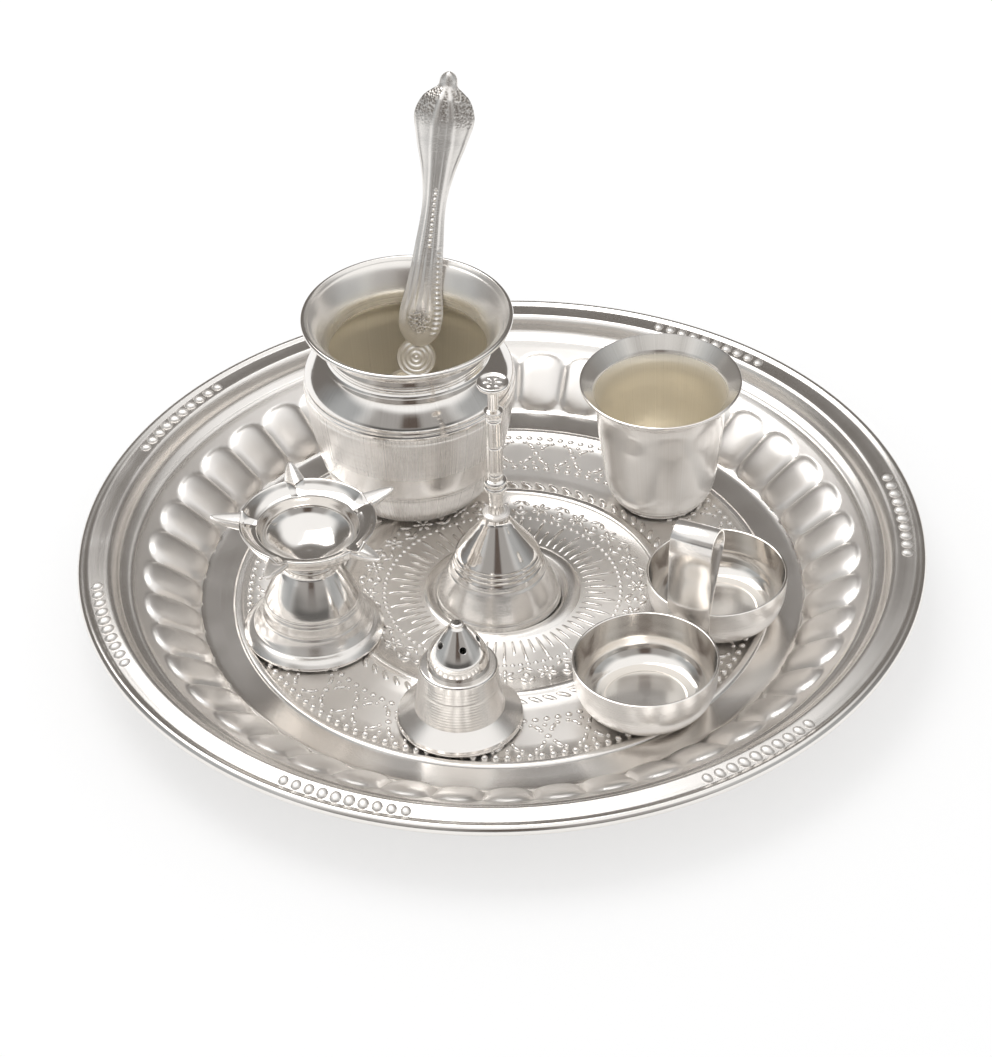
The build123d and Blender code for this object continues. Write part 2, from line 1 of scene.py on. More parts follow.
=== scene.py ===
import math
import bpy
import numpy as np
from mathutils import Matrix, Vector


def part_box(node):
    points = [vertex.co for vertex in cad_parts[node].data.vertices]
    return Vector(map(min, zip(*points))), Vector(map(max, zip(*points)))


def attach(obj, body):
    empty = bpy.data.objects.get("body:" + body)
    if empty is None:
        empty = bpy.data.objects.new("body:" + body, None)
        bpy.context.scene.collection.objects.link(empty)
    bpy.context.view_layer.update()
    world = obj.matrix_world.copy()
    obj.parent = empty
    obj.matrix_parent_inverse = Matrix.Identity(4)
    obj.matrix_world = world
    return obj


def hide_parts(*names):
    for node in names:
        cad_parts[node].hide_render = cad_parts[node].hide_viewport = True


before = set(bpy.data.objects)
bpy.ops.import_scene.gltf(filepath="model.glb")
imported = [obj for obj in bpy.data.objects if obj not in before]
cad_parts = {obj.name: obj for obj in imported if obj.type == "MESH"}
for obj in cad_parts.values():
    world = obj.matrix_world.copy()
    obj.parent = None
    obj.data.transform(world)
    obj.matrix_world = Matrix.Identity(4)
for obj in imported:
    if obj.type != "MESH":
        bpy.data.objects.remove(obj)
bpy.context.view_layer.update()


# Thali plate: one disc of plated brass sheet, spun and pressed in a die.
# Its floor has three raised rings, its wall 44 pillow flutes side by side, its flange a wired edge.
class Wire:
    """One output socket of a node tree; sums and products with numbers or other wires add Math nodes."""

    def __init__(self, tree, socket=None):
        self.tree = tree
        self.socket = socket

    def add(self, kind, settings=None, inputs=None, out=0):
        """New node of a type: its settings first, then its sockets; gives one output."""
        node = self.tree.nodes.new(kind)
        for key, value in (settings or {}).items():
            setattr(node, key, value)
        for key, value in (inputs or {}).items():
            if isinstance(value, Wire):
                self.tree.links.new(value.socket, node.inputs[key])
            else:
                node.inputs[key].default_value = value
        return Wire(self.tree, node.outputs[out])

    def maths(self, operation, a, b):
        return self.add("ShaderNodeMath", {"operation": operation}, {0: a, 1: b})

    def __add__(self, other):
        return self.maths("ADD", self, other)

    def __sub__(self, other):
        return self.maths("SUBTRACT", self, other)

    def __rsub__(self, other):
        return self.maths("SUBTRACT", other, self)

    def __mul__(self, other):
        return self.maths("MULTIPLY", self, other)

    __radd__ = __add__
    __rmul__ = __mul__


def silver(name, at, satin, polished, lines, bite, brushed=0.0, haze=0.38, strokes=0.0,
           tone=(0.955, 0.925, 0.893), ground=None):
    """Silver plating. The polish mark goes from the satin to the polished roughness, the warm mark turns it to
    the dull beige of the insides, haze whitens the satin, fine turned lines follow height plus part of the
    radius about the piece's axis, upright strokes follow the angle about it, and a ground colour fills the pits
    of a stippled field."""
    material = bpy.data.materials.new(name)
    material.use_nodes = True
    tree = material.node_tree
    shader = tree.nodes["Principled BSDF"]
    start = Wire(tree)
    place = start.add("ShaderNodeTexCoord", out="Object")
    to_axis = (-at[0] / 1000, -at[1] / 1000, 0)
    centred = start.add("ShaderNodeMapping", None, {"Vector": place, "Location": to_axis})
    height = start.add("ShaderNodeSeparateXYZ", None, {0: centred}, out="Z")
    sides = height.socket.node.outputs
    angle = start.maths("ARCTAN2", Wire(tree, sides["Y"]), Wire(tree, sides["X"]))
    level = start.add("ShaderNodeVectorMath", {"operation": "MULTIPLY"}, {0: centred, 1: (1, 1, 0)})
    radius = start.add("ShaderNodeVectorMath", {"operation": "LENGTH"}, {0: level}, out="Value")
    polish = start.add("ShaderNodeAttribute", {"attribute_name": "polish"}, out="Fac")
    warm = start.add("ShaderNodeAttribute", {"attribute_name": "warm"}, out="Fac")
    way = (height + radius * 0.7) * lines
    in_lines = {"noise_dimensions": "1D"}
    turning = start.add("ShaderNodeTexNoise", in_lines, {"W": way, "Detail": 4.0, "Roughness": 0.65})
    smudge = start.add("ShaderNodeTexNoise", None, {"Vector": centred, "Scale": 55.0, "Detail": 4.0})
    stroke_count, line_share, smudge_share, warm_rough, warm_dull = 9, 0.22, 0.09, 0.06, 0.28
    stroke_way = angle * stroke_count
    stroke = start.add("ShaderNodeTexNoise", in_lines, {"W": stroke_way, "Detail": 5.0, "Roughness": 0.6})
    smudge = smudge + (stroke - 0.5) * strokes
    dull = 1 - polish
    scuffs = dull * (turning - 0.5) * line_share + (smudge - 0.5) * smudge_share
    rough = polished + dull * (satin - polished) + scuffs + warm * warm_rough
    metal = 1 - warm * warm_dull - (1 - warm) * dull * haze
    beige = (0.995, 0.945, 0.84, 1)
    mix = {"data_type": "RGBA"}
    plating = start.add("ShaderNodeMix", mix, {0: warm, 6: (*tone, 1), 7: beige}, out=2)
    worn = start.add("ShaderNodeMix", mix, {0: smudge, 6: (0.9, 0.895, 0.885, 1), 7: (1, 1, 1, 1)}, out=2)
    darken = mix | {"blend_type": "MULTIPLY"}
    colour = start.add("ShaderNodeMix", darken, {0: 1.0, 6: plating, 7: worn}, out=2)
    scratch = dull * turning
    if ground:
        stipple = start.add("ShaderNodeAttribute", {"attribute_name": "stipple"}, out="Fac")
        pit = start.add("ShaderNodeTexVoronoi", None, {"Vector": centred, "Scale": 1100.0}, out="Distance")
        depth = stipple * (1 - pit * 1.1)
        colour = start.add("ShaderNodeMix", mix, {0: depth, 6: colour, 7: (*ground, 1)}, out=2)
        scratch = scratch - depth * 4
    bump = start.add("ShaderNodeBump", None, {"Strength": 1.0, "Distance": bite / 1000, "Height": scratch})
    shader.inputs["Anisotropic"].default_value = brushed
    for key, wire in {"Base Color": colour, "Metallic": metal, "Roughness": rough, "Normal": bump}.items():
        tree.links.new(wire.socket, shader.inputs[key])
    return material


def run(points, polish=0.5, warm=0.0, step=1.0):
    """Stretch of a profile: straight through two (r, z) points, and through more a cubic in chord length
    whose slopes are central differences. Columns are radius, height, polish and warmth."""
    points = np.array(points, float)
    chord = np.append(0.0, np.cumsum(np.hypot(*np.diff(points, axis=0).T)))
    count = max(2, round(chord[-1] / step) + 1)
    s = np.linspace(0, chord[-1], count)
    slope = np.gradient(points, chord, axis=0)
    i = np.clip(np.searchsorted(chord, s, side="right") - 1, 0, len(points) - 2)
    h = (chord[i + 1] - chord[i])[:, None]
    t = (s - chord[i])[:, None] / h
    near = (2 * t**3 - 3 * t**2 + 1) * points[i] + (t**3 - 2 * t**2 + t) * h * slope[i]
    far = (3 * t**2 - 2 * t**3) * points[i + 1] + (t**3 - t**2) * h * slope[i + 1]
    return np.column_stack([near + far, np.full(count, polish), np.full(count, warm)])


def line_of(*runs):
    """Whole profile: the runs end to end, each later one without its first, shared point."""
    return np.concatenate([runs[0]] + [r[1:] for r in runs[1:]])


def skin(name, points, faces, **marks):
    """Mesh object from points in millimetres and blocks of faces; polish, warmth and more are point marks."""
    mesh = bpy.data.meshes.new(name)
    mesh.from_pydata((points / 1000).tolist(), [], [f for block in faces for f in block.tolist()])
    for key, values in marks.items():
        column = np.ascontiguousarray(np.broadcast_to(values, len(points)), np.float32)
        mesh.attributes.new(key, "FLOAT", "POINT").data.foreach_set("value", column)
    mesh.shade_smooth()
    mesh.set_sharp_from_angle(angle=math.radians(40))
    piece = bpy.data.objects.new(name, mesh)
    bpy.context.scene.collection.objects.link(piece)
    return piece


def lattice(rows, around, wrap):
    """Faces of a grid that closes on itself sideways, and also from last row to first where wrap is 1."""
    i, j = np.meshgrid(np.arange(rows - 1 + wrap), np.arange(around), indexing="ij")
    up, on = (i + 1) % rows, (j + 1) % around
    return np.stack([i * around + j, i * around + on, up * around + on, up * around + j], -1).reshape(-1, 4)


def lathe(name, line, at, base, around, relief=None):
    """Turned piece: the profile's radius and height carried round an upright axis, plus what relief adds to
    both. A profile that begins and ends on the axis closes in a pole at each end, any other closes on itself
    as a ring."""
    poles = int(line[0, 0] < 1e-6)
    rows = line[poles:len(line) - poles]
    turn = np.linspace(0, 2 * np.pi, around, endpoint=False)[None, :]
    r, z = rows[:, :1] + 0 * turn, rows[:, 1:2] + 0 * turn
    if relief:
        more_r, more_z = relief(turn, rows)
        r, z = r + more_r, z + more_z
    points = np.stack([at[0] + r * np.cos(turn), at[1] + r * np.sin(turn), base + z], -1).reshape(-1, 3)
    marks = np.repeat(rows[:, 2:], around, axis=0)
    faces = [lattice(len(rows), around, 1 - poles)]
    if poles:
        ends = np.array([[at[0], at[1], base + line[0, 1]], [at[0], at[1], base + line[-1, 1]]])
        j = np.arange(around)
        on, last, total = (j + 1) % around, (len(rows) - 1) * around, len(points)
        faces += [np.stack([np.full(around, total), on, j], -1)]
        faces += [np.stack([last + j, last + on, np.full(around, total + 1)], -1)]
        points = np.concatenate([points, ends])
        marks = np.concatenate([marks, line[[0, -1], 2:]])
    return skin(name, points, faces, polish=marks[:, 0], warm=marks[:, 1])


wall_foot, wall_top = (108.0, 1.8), (129.5, 15.6)
floor_z = 1.4
flute_count, flute_rise, flute_ends = 44, 2.2, (107.4, 127.0)
edge = np.radians(np.arange(192, 488, 14.05))
wired_edge = np.column_stack([148 + 2 * np.cos(edge), 21.1 + 2 * np.sin(edge)])
flange = [(146.8, 22.7), (146.2, 22.4), (145.3, 22.45), (143.5, 22.55), (140.8, 23.0), (139.5, 23.15),
          (138.4, 22.7), (137.6, 21.9), (136.6, 20.6), (135.2, 18.4), (133.6, 17.6), (132.3, 17.15),
          (131.3, 17.1), (130.6, 16.6)]
under = [(108.6, 0.8), (130.1, 14.5), (135.7, 17.2), (138.9, 21.2), (141.5, 21.6), tuple(wired_edge[0])]
plate_line = line_of(
    run([(0, 0), (107, 0)], 0.4, step=27),
    run([(107, 0), under[0]], 0.4),
    *[run([a, b], 0.4, step=6) for a, b in zip(under, under[1:])],
    run(wired_edge, 0.8, step=0.7),
    run([tuple(wired_edge[-1]), flange[0]], 0.8),
    run(flange, 0.66, step=0.6),
    run([flange[-1], wall_top], 0.5),
    run([wall_top, wall_foot], 0.4, step=0.65),
    run([wall_foot, (106.6, 1.35), (105, 1.2)], 0.82, step=0.8),
    run([(105, 1.2), (96.1, 1.2)], 0.82, step=5),
    run([(96.1, 1.2), (95.5, 1.75), (94.2, 1.95), (92.9, 1.8), (92.3, floor_z)], 0.65, step=0.4),
    run([(92.3, floor_z), (59.4, floor_z)], 0.3, step=9),
    run([(59.4, floor_z), (58.5, 1.9), (57.2, 2.05), (55.9, 1.9), (55.0, floor_z)], 0.75, step=0.4),
    run([(55.0, floor_z), (28.2, floor_z)], 0.45, step=9),
    run([(28.2, floor_z), (27.0, 1.85), (25.1, 2.05), (23.2, 1.85), (22.0, floor_z)], 0.8, step=0.5),
    run([(22.0, floor_z), (0, floor_z)], 0.5, step=8),
)


def fluted(turn, rows):
    """Wall pushed up in pillows, square to its slope: the rise times a root of what is left of one after taking
    off the 3.4th power of the place along the slope and the 2.6th power of the place across a flute, both from
    the flute's middle."""
    slope = math.atan2(wall_top[1] - wall_foot[1], wall_top[0] - wall_foot[0])
    along = 2 * (rows[:, :1] - flute_ends[0]) / (flute_ends[1] - flute_ends[0]) - 1
    across = 2 * ((turn * flute_count / (2 * np.pi) + 0.5) % 1 - 0.5)
    on_top = rows[:, 1:2] > wall_foot[1] - 0.3 + (rows[:, :1] - wall_foot[0]) * math.tan(slope)
    crown = flute_rise * on_top * np.clip(1 - abs(along) ** 3.4 - abs(across) ** 2.6, 0, 1) ** 0.6
    return -crown * math.sin(slope), crown * math.cos(slope)


plate = lathe("plate_sheet", plate_line, (0, 0), 0, flute_count * 14, fluted)
plate_silver = silver("plate_plating", (0, 0), satin=0.48, polished=0.12, lines=700, bite=0.012, brushed=0.25,
                      haze=0.08)
plate.data.materials.append(plate_silver)
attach(plate, "thali")
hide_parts("thali_plate")


# Die ornament: dots, leaves, rosettes and rays raised in bands on the plate's floor.
# All are pressed from the sheet, so they share its plating, a little brighter than the ground about them.
def pillow(half_long, half_wide, count, square=2.0):
    """Closed outline, a superellipse of the given squareness: along is outward, across goes round the plate."""
    a = np.linspace(0, 2 * np.pi, count, endpoint=False)
    c, s = np.cos(a), np.sin(a)
    along = half_long * np.sign(c) * abs(c) ** (2 / square)
    across = half_wide * np.sign(s) * abs(s) ** (2 / square)
    return np.column_stack([along, across])


def pressed(outline, places, rise, rings, fullness=2.0, slope=0.0, sunk=0.4, at=(0, 0), bulge=0.5):
    """Raised copies of an outline. A copy shrinks to its middle by t while its height grows as the rise times
    one less t to the power of fullness, that in turn to the power of bulge. Places are rows of radius, angle,
    height and spin; slope tips a copy outward."""
    radius, turn, lift, spin = [np.array(v, float)[:, None, None] for v in np.array(places, float).T]
    turn, spin, tip = np.radians(turn), np.radians(spin), math.radians(slope)
    t = np.append(1.0, np.linspace(1, 0, rings + 1)[:-1])[None, :, None]
    high = rise * (1 - t**fullness) ** bulge
    high[:, 0] = -sunk
    along, across = outline[:, 0] * t, outline[:, 1] * t
    u, v = along * np.cos(spin) - across * np.sin(spin), along * np.sin(spin) + across * np.cos(spin)
    poles = np.array([-sunk, rise])[None, :, None]
    middles = np.zeros((len(turn), 2))
    u, v = [np.concatenate([w.reshape(len(turn), -1), middles], 1)[:, :, None] for w in (u, v)]
    sides = np.broadcast_to(high, (len(turn), rings + 1, len(outline))).reshape(len(turn), -1, 1)
    h = np.concatenate([sides, np.broadcast_to(poles, (len(turn), 2, 1))], 1)
    out = radius + u * math.cos(tip) - h * math.sin(tip)
    angle = turn + v / np.maximum(radius, 1e-3)
    z = lift + u * math.sin(tip) + h * math.cos(tip)
    points = np.concatenate([at[0] + out * np.cos(angle), at[1] + out * np.sin(angle), z], -1)
    around, each = len(outline), points.shape[1]
    j = np.arange(around)
    on, last = (j + 1) % around, rings * around
    bottom = np.stack([np.full(around, each - 2), on, j], -1)
    top = np.stack([last + j, last + on, np.full(around, each - 1)], -1)
    first = (np.arange(len(points)) * each)[:, None, None]
    quads = (lattice(rings + 1, around, 0)[None] + first).reshape(-1, 4)
    ends = (np.concatenate([bottom, top])[None] + first).reshape(-1, 3)
    return points.reshape(-1, 3), [quads, ends]


def ring_of(count, radius, first=0.0, spin=0.0):
    """Even ring of places on the floor for a pressed motif."""
    return [(radius, first + 360 / count * k, floor_z, spin) for k in range(count)]


def together(bits):
    """Several sets of pressed shapes as one mesh, the later sets' point numbers moved on."""
    shift = np.cumsum([0] + [len(points) for points, _ in bits])
    points = np.concatenate([points for points, _ in bits])
    return points, [block + s for (_, faces), s in zip(bits, shift) for block in faces]


def rosette(count, radius, first, spread):
    """Places of six petals round each point of a ring, every petal pointing away from its own middle."""
    places = []
    for k in range(count):
        for p in range(6):
            a = math.radians(60 * p)
            places.append((radius + spread * math.cos(a), first + 360 / count * k
                           + math.degrees(spread * math.sin(a) / radius), floor_z, 60 * p))
    return places


dot = pillow(1.3, 1.3, 8)
small_dot = pillow(0.95, 0.95, 8)
petal = pillow(1.6, 0.9, 8)
leaf = pillow(2.1, 0.95, 8, square=1.7)
rope = pillow(2.9, 1.15, 10, square=2.2)
long_ray = pillow(5.9, 0.62, 12, square=4.0)
short_ray = pillow(3.9, 0.58, 12, square=4.0)
clusters = 36
sprig = [(75.4, 0.0), (87.0, 0.0), (78.2, -1.35), (78.2, 1.35), (84.2, -1.25), (84.2, 1.25),
         (75.0, -3.6), (75.0, 3.6), (87.4, -3.4), (87.4, 3.4)]
sprigs = [(r, 360 / clusters * k + off, floor_z, 0) for k in range(clusters) for r, off in sprig]
sprays = [(r, 360 / clusters * k + off, floor_z, tip) for k in range(clusters)
          for r, off, tip in ((76.6, -2.0, 40), (76.6, 2.0, -40), (85.8, -1.9, -40), (85.8, 1.9, 40))]
border_dots = ring_of(144, 90.1) + ring_of(114, 72.2)
rosettes, rosette_r, rays = 20, 48.0, 32
leaf_outer, leaf_inner, leaf_tip = 50.6, 45.2, 50
leaves_left = [place for r, tip in ((leaf_outer, leaf_tip), (leaf_inner, -leaf_tip))
               for place in ring_of(rosettes, r, first=7.2, spin=tip)]
leaves_right = [place for r, tip in ((leaf_outer, -leaf_tip), (leaf_inner, leaf_tip))
                for place in ring_of(rosettes, r, first=10.8, spin=tip)]
bits = [
    pressed(dot, border_dots, 0.64, 3),
    pressed(small_dot, sprigs, 0.6, 3),
    pressed(leaf, sprays, 0.6, 3),
    pressed(dot, ring_of(clusters, 81.2), 0.64, 3),
    pressed(rope, ring_of(76, 61.6, spin=52), 0.6, 3),
    pressed(petal, rosette(rosettes, rosette_r, 0, 2.2), 0.6, 3),
    pressed(small_dot, ring_of(rosettes, rosette_r), 0.64, 3),
    pressed(leaf, leaves_left, 0.6, 3),
    pressed(leaf, leaves_right, 0.6, 3),
    pressed(dot, ring_of(rosettes, 47.9, first=9), 0.6, 3),
    pressed(small_dot, ring_of(96, 42.2), 0.5, 2),
    pressed(long_ray, ring_of(rays, 35.0), 0.55, 3, fullness=3),
    pressed(short_ray, ring_of(rays, 33.0, first=180 / rays), 0.5, 3, fullness=3),
]
ornament_points, ornament_faces = together(bits)
ornament = skin("floor_ornament", ornament_points, ornament_faces, polish=0.7)
ornament.data.materials.append(plate_silver)
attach(ornament, "thali")


# Flange beads: seven groups of oval beads punched up along the sloping flange.
# Each group has ten, largest in its middle.
bead_groups = (4.0, 55.5, 101.0, 145.5, 196.0, 247.6, 306.0)
beads_each, bead_pitch, bead_r, bead_z, bead_spin = 10, 1.95, 143.2, 22.5, 14
bead_bits = []
for step in range(beads_each):
    from_middle = step - (beads_each - 1) / 2
    grow = 1.0 - 0.035 * abs(from_middle)
    bead = pillow(2.8 * grow, 2.2 * grow, 16)
    places = [(bead_r, g + bead_pitch * from_middle, bead_z, bead_spin) for g in bead_groups]
    bead_bits.append(pressed(bead, places, 1.35 * grow, 6, slope=-7, sunk=0.6, bulge=0.6))
bead_points, bead_faces = together(bead_bits)
beads = skin("flange_beads", bead_points, bead_faces, polish=0.1)
beads.data.materials.append(plate_silver)
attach(beads, "thali")


# Kalash: spun brass pot, its belly left satin with one brighter band, its shoulder polished.
# Fine lines are scored round it about the shoulder and low on the belly.
def standing(node):
    """Axis and foot height of a turned CAD solid, in millimetres, from its box."""
    low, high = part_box(node)
    return ((low.x + high.x) * 500, (low.y + high.y) * 500), low.z * 1000


def inner(points, wall):
    """Profile points moved to their left by the wall's thickness."""
    points = np.array(points, float)
    way = np.gradient(points, axis=0)
    way /= np.hypot(*way.T)[:, None]
    return points + wall * np.column_stack([-way[:, 1], way[:, 0]])


def scored(line, heights, depth, width):
    """Profile with turned grooves: its radius less depth times a bell curve about each height."""
    line = line.copy()
    gap = (line[:, 1:2] - np.array(heights)) / width
    line[:, 0] -= depth * np.exp(-gap**2).sum(1)
    return line


pot_at, pot_base = standing("kalash_body")
belly = [(18, 0), (23.5, 1.6), (28.8, 7.0), (32.6, 16), (35.3, 27), (37.3, 39), (38.3, 49.5), (37.6, 53.4),
         (34.6, 57.8), (31.8, 60.4), (29.9, 61.6), (29.4, 63)]
belly_in = inner(belly, 1.0)
belly_in[0] = (18, 1)
belly_in[-1] = (28.4, 63)
belly_run = scored(run(belly, step=0.3), (18.0, 19.4, 47.3, 50.6, 52.0), 0.28, 0.35)
shoulder_z, band_z, band_half = 49.2, 24, 5.5
belly_run[:, 2] = np.where(abs(belly_run[:, 1] - band_z) < band_half, 0.6, 0.2)
belly_run[belly_run[:, 1] > shoulder_z, 2] = 0.92
pot = lathe("kalash_body_turned", line_of(
    run([(0, 0), (18, 0)], 0.3, step=6),
    belly_run,
    run([belly[-1], tuple(belly_in[-1])], 0.6),
    run(belly_in[::-1], 0.25, 1.0, step=1.5),
    run([(18, 1), (0, 1)], 0.25, 1.0, step=6),
), pot_at, pot_base, 144)
pot.data.materials.append(silver("kalash_plating", pot_at, satin=0.34, polished=0.08, lines=1500, bite=0.012,
                                 brushed=0.5, haze=0.4, strokes=1.2))
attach(pot, "kalash")
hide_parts("kalash_body")


# Kalash mouth: a flared ring spun by itself, polished outside and satin inside, soldered on the shoulder.
# Its lip is turned over to a round edge and a line is scored inside the flare.
mouth_at, mouth_base = standing("kalash_neck")
flare = [(29.4, 0), (29.9, 3.1), (32.1, 7.5), (35.5, 11.1), (37.7, 12.35)]
lip = [(37.7, 12.35), (38.15, 12.9), (38.15, 13.6), (37.7, 14.1), (36.9, 14.2)]
throat = [(36.9, 14.2), (36.2, 13.7), (34.3, 12.2), (31.2, 8.2), (29.0, 3.9), (28.4, 0)]
throat_run = scored(run(throat, 0.4, 0.25, step=0.3), (13.0,), -0.2, 0.25)
throat_run[:, 3] = np.interp(throat_run[:, 1], (3.5, 8), (1.0, 0.1))
mouth = lathe("kalash_mouth_flare", line_of(
    run([(28.4, 0), (29.4, 0)], 0.6),
    scored(run(flare, 0.9, step=0.3), (1.2, 2.4), 0.25, 0.3),
    run(lip, 0.95, step=0.3),
    throat_run,
)[:-1], mouth_at, mouth_base, 144)
mouth.data.materials.append(silver("mouth_plating", mouth_at, satin=0.28, polished=0.08, lines=1500, bite=0.015,
                                   brushed=0.4))
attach(mouth, "kalash")
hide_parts("kalash_neck")


# Spoon handle: cast and plated, crescent in section, with a tongue at its low end and a hooded top.
# Two ribs run up its face, with one short beaded line between them and one beside them lower down.
spoon_lean, spoon_turn, spoon_twist = math.radians(64), math.radians(19.5), math.radians(10)
level = math.cos(spoon_lean)
rise = np.array([level * math.sin(spoon_turn), level * math.cos(spoon_turn), math.sin(spoon_lean)])
side = np.array([math.cos(spoon_turn), -math.sin(spoon_turn), 0.0])
face = np.cross(side, rise)
spoon_axes = np.array([side * math.cos(spoon_twist) - face * math.sin(spoon_twist), rise,
                       side * math.sin(spoon_twist) + face * math.cos(spoon_twist)])
stations = np.array([
    (54, 4.0, 0.7), (56, 9.9, 1.0), (60.5, 15.2, 1.4), (65, 16.0, 1.6), (75, 13.4, 1.9), (91, 10.4, 2.0),
    (109, 9.0, 2.0), (119, 12.5, 2.4), (130, 18.7, 3.4), (139, 22.0, 4.2), (145, 17.6, 3.8), (148.3, 10.6, 2.6),
    (150, 7.0, 2.0), (152.5, 6.2, 2.0), (154.2, 3.9, 1.5), (155, 0.8, 0.8),
])
along = np.linspace(54, 155, 330)
width = run(stations[:, :2], step=0.2)
crown = run(stations[:, [0, 2]], step=0.2)
wide = np.interp(along, width[:, 0], width[:, 1])[:, None]
high = np.interp(along, crown[:, 0], crown[:, 1])[:, None]
u = np.linspace(-1, 1, 57)[None, :]
v = along[:, None]
left_rib = np.interp(v, (60, 85, 110, 148), (-0.46, -0.42, -0.34, -0.17))
right_rib = np.interp(v, (60, 85, 110, 148), (0.42, 0.5, 0.48, 0.2))
rib_wide = np.interp(v, (60, 112, 148), (0.17, 0.2, 0.1))
on_rib = np.exp(-((u - left_rib) / rib_wide) ** 4) + np.exp(-((u - right_rib) / rib_wide) ** 4)
shank = np.clip((v - 60) / 8, 0, 1) * np.clip((149 - v) / 4, 0, 1)
flutes_low = 0.22 * np.clip((v - 66) / 6, 0, 1) * np.clip((92 - v) / 10, 0, 1) * np.cos(u * 16)
upper_string = np.clip((v - 89) / 3, 0, 1) * np.clip((114 - v) / 3, 0, 1) * np.exp(-((u - 0.08) / 0.12) ** 2)
lower_string = np.clip((v - 57) / 3, 0, 1) * np.clip((92 - v) / 3, 0, 1) * np.exp(-((u - 0.76) / 0.1) ** 2)
string = 0.45 * (upper_string + lower_string) * np.clip(np.cos(v * 3.3), -0.3, 1)
border = 0.3 * np.clip((v - 112) / 10, 0, 1) * np.exp(-((abs(u) - 0.93) / 0.06) ** 2)
relief = 0.45 * shank * on_rib + flutes_low + string + border
top = np.stack([u * wide / 2, v + 0 * u, 0.6 + high * (1 - u**2) + relief], -1)
back_u = u[:, ::-1][:, ::4]
hollow = np.maximum(0.25, high - 0.9) * (1 - back_u**2)
back = np.stack([back_u * wide / 2, v + 0 * back_u, hollow], -1)
sections = np.concatenate([top, back], 1)
handle_points = sections.reshape(-1, 3)
loop = sections.shape[1]
handle_faces = [lattice(len(along), loop, 0)[:, ::-1], np.arange(loop)[None, :],
                (len(handle_points) - loop + np.arange(loop))[None, ::-1]]
hood_field = np.clip((v - 134) / 7, 0, 1) * np.clip((150 - v) / 2, 0, 1) * (1 - np.clip(on_rib, 0, 1))
tongue_field = np.exp(-((((v - 63.5) / 4.5) ** 2 + ((u + 0.03) / 0.5) ** 2) ** 2))
plain = np.zeros((len(along), back.shape[1]))
handle_stipple = np.concatenate([np.clip(hood_field + tongue_field, 0, 1), plain], 1).reshape(-1)
handle_polish = np.concatenate([0.72 + 0 * u * v, plain + 0.7], 1).reshape(-1)
handle_points = handle_points @ spoon_axes
low, high_corner = [np.array(c) * 1000 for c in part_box("spoon_handle")]
spoon_shift = (low + high_corner) / 2 - (handle_points.min(0) + handle_points.max(0)) / 2
spoon_handle = skin("spoon_handle_cast", handle_points + spoon_shift, handle_faces, polish=handle_polish,
                    stipple=handle_stipple)
spoon_silver = silver("spoon_plating", (0, 0), satin=0.42, polished=0.2, lines=900, bite=0.05, haze=0.5,
                      ground=(0.16, 0.125, 0.09))
spoon_handle.data.materials.append(spoon_silver)
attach(spoon_handle, "spoon")
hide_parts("spoon_handle")


# Spoon bowl: a shallow oval dish beaten from sheet, with a round boss at its top.
# It is soldered under the handle's tongue; rings are embossed on the boss.
dish_r, dish_long = 15.0, 46.0
dish_out = [(0, -7), (7.5, -6.02), (13.05, -3.15), (15, 0)]
dish_in = inner(dish_out, 0.9)
dish_in[0] = (0, -6.1)
dish_in[-1] = (14.1, 0)
dish_line = line_of(
    run(dish_out, 0.7, step=0.8),
    run([dish_out[-1], tuple(dish_in[-1])], 0.8),
    run(dish_in[::-1], 0.7, 0.3, step=0.8),
)
boss_r = np.linspace(7.0, 0, 60)
boss_top = np.column_stack([boss_r, 0.1 + 0.22 * np.cos(boss_r * 2 * math.pi / 1.75)])
boss_line = line_of(
    run([(0, -1.25), (7.3, -1.25)], 0.7, step=2),
    run([(7.3, -1.25), (7.3, -0.1)], 0.8, step=0.4),
    run([(7.3, -0.1), tuple(boss_top[0])], 0.8),
    run(boss_top, 0.55, 0.2, step=0.12),
)


def laid_over(piece, middle, stretch):
    """Turned piece moved from its own upright axis into the leaning spoon and stretched along the spoon."""
    flat = np.empty(len(piece.data.vertices) * 3)
    piece.data.vertices.foreach_get("co", flat)
    points = flat.reshape(-1, 3) * 1000 * (1, stretch, 1) + (0, middle, 0)
    piece.data.vertices.foreach_set("co", ((points @ spoon_axes + spoon_shift) / 1000).reshape(-1))
    piece.data.update()
    piece.data.materials.append(spoon_silver)
    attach(piece, "spoon")


dish = lathe("spoon_dish", dish_line, (0, 0), 0, 72)
laid_over(dish, dish_long / 2, dish_long / (2 * dish_r))
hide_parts("spoon_bowl")
boss = lathe("spoon_boss", boss_line, (0, 0), 0, 64)
laid_over(boss, 54 - 4.5, 1.0)


